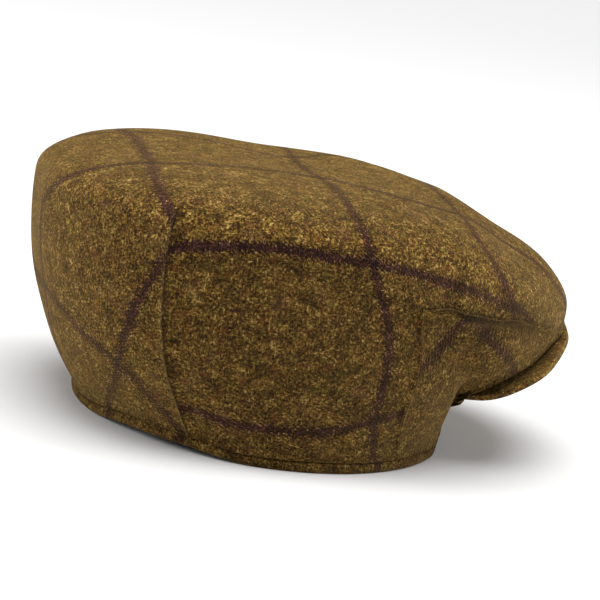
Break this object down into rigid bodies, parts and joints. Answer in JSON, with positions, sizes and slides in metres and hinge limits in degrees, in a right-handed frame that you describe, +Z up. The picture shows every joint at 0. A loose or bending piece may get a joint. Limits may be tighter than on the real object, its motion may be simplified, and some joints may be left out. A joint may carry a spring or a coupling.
{
  "type": "flat cap",
  "caption": "Low rounded cloth cap with an overhanging crown, a short stiff peak below its front and a stitched hem, worn on the head.",
  "frame": {"origin": "on the floor under the middle of the cap's outline, at the height of the hem's lower edge", "axes": "-Y towards the front of the cap, where the peak is, -X towards its right side, +Z up through the crown"},
  "size_m": [0.1992, 0.277, 0.1278],
  "materials": {
    "tweed_crown": "felted wool tweed, olive-brown heather with a dark windowpane check",
    "tweed_bias": "the same tweed cut on the bias",
    "tweed_peak": "the same tweed stretched over a stiff peak",
    "tweed_hem": "turned and stitched tweed hem"
  },
  "bodies": {
    "root": {"crown_body": "tweed_crown", "front_side_right": "tweed_bias", "front_side_left": "tweed_bias", "peak": "tweed_peak", "hem_band": "tweed_hem"}
  },
  "joints": []
}
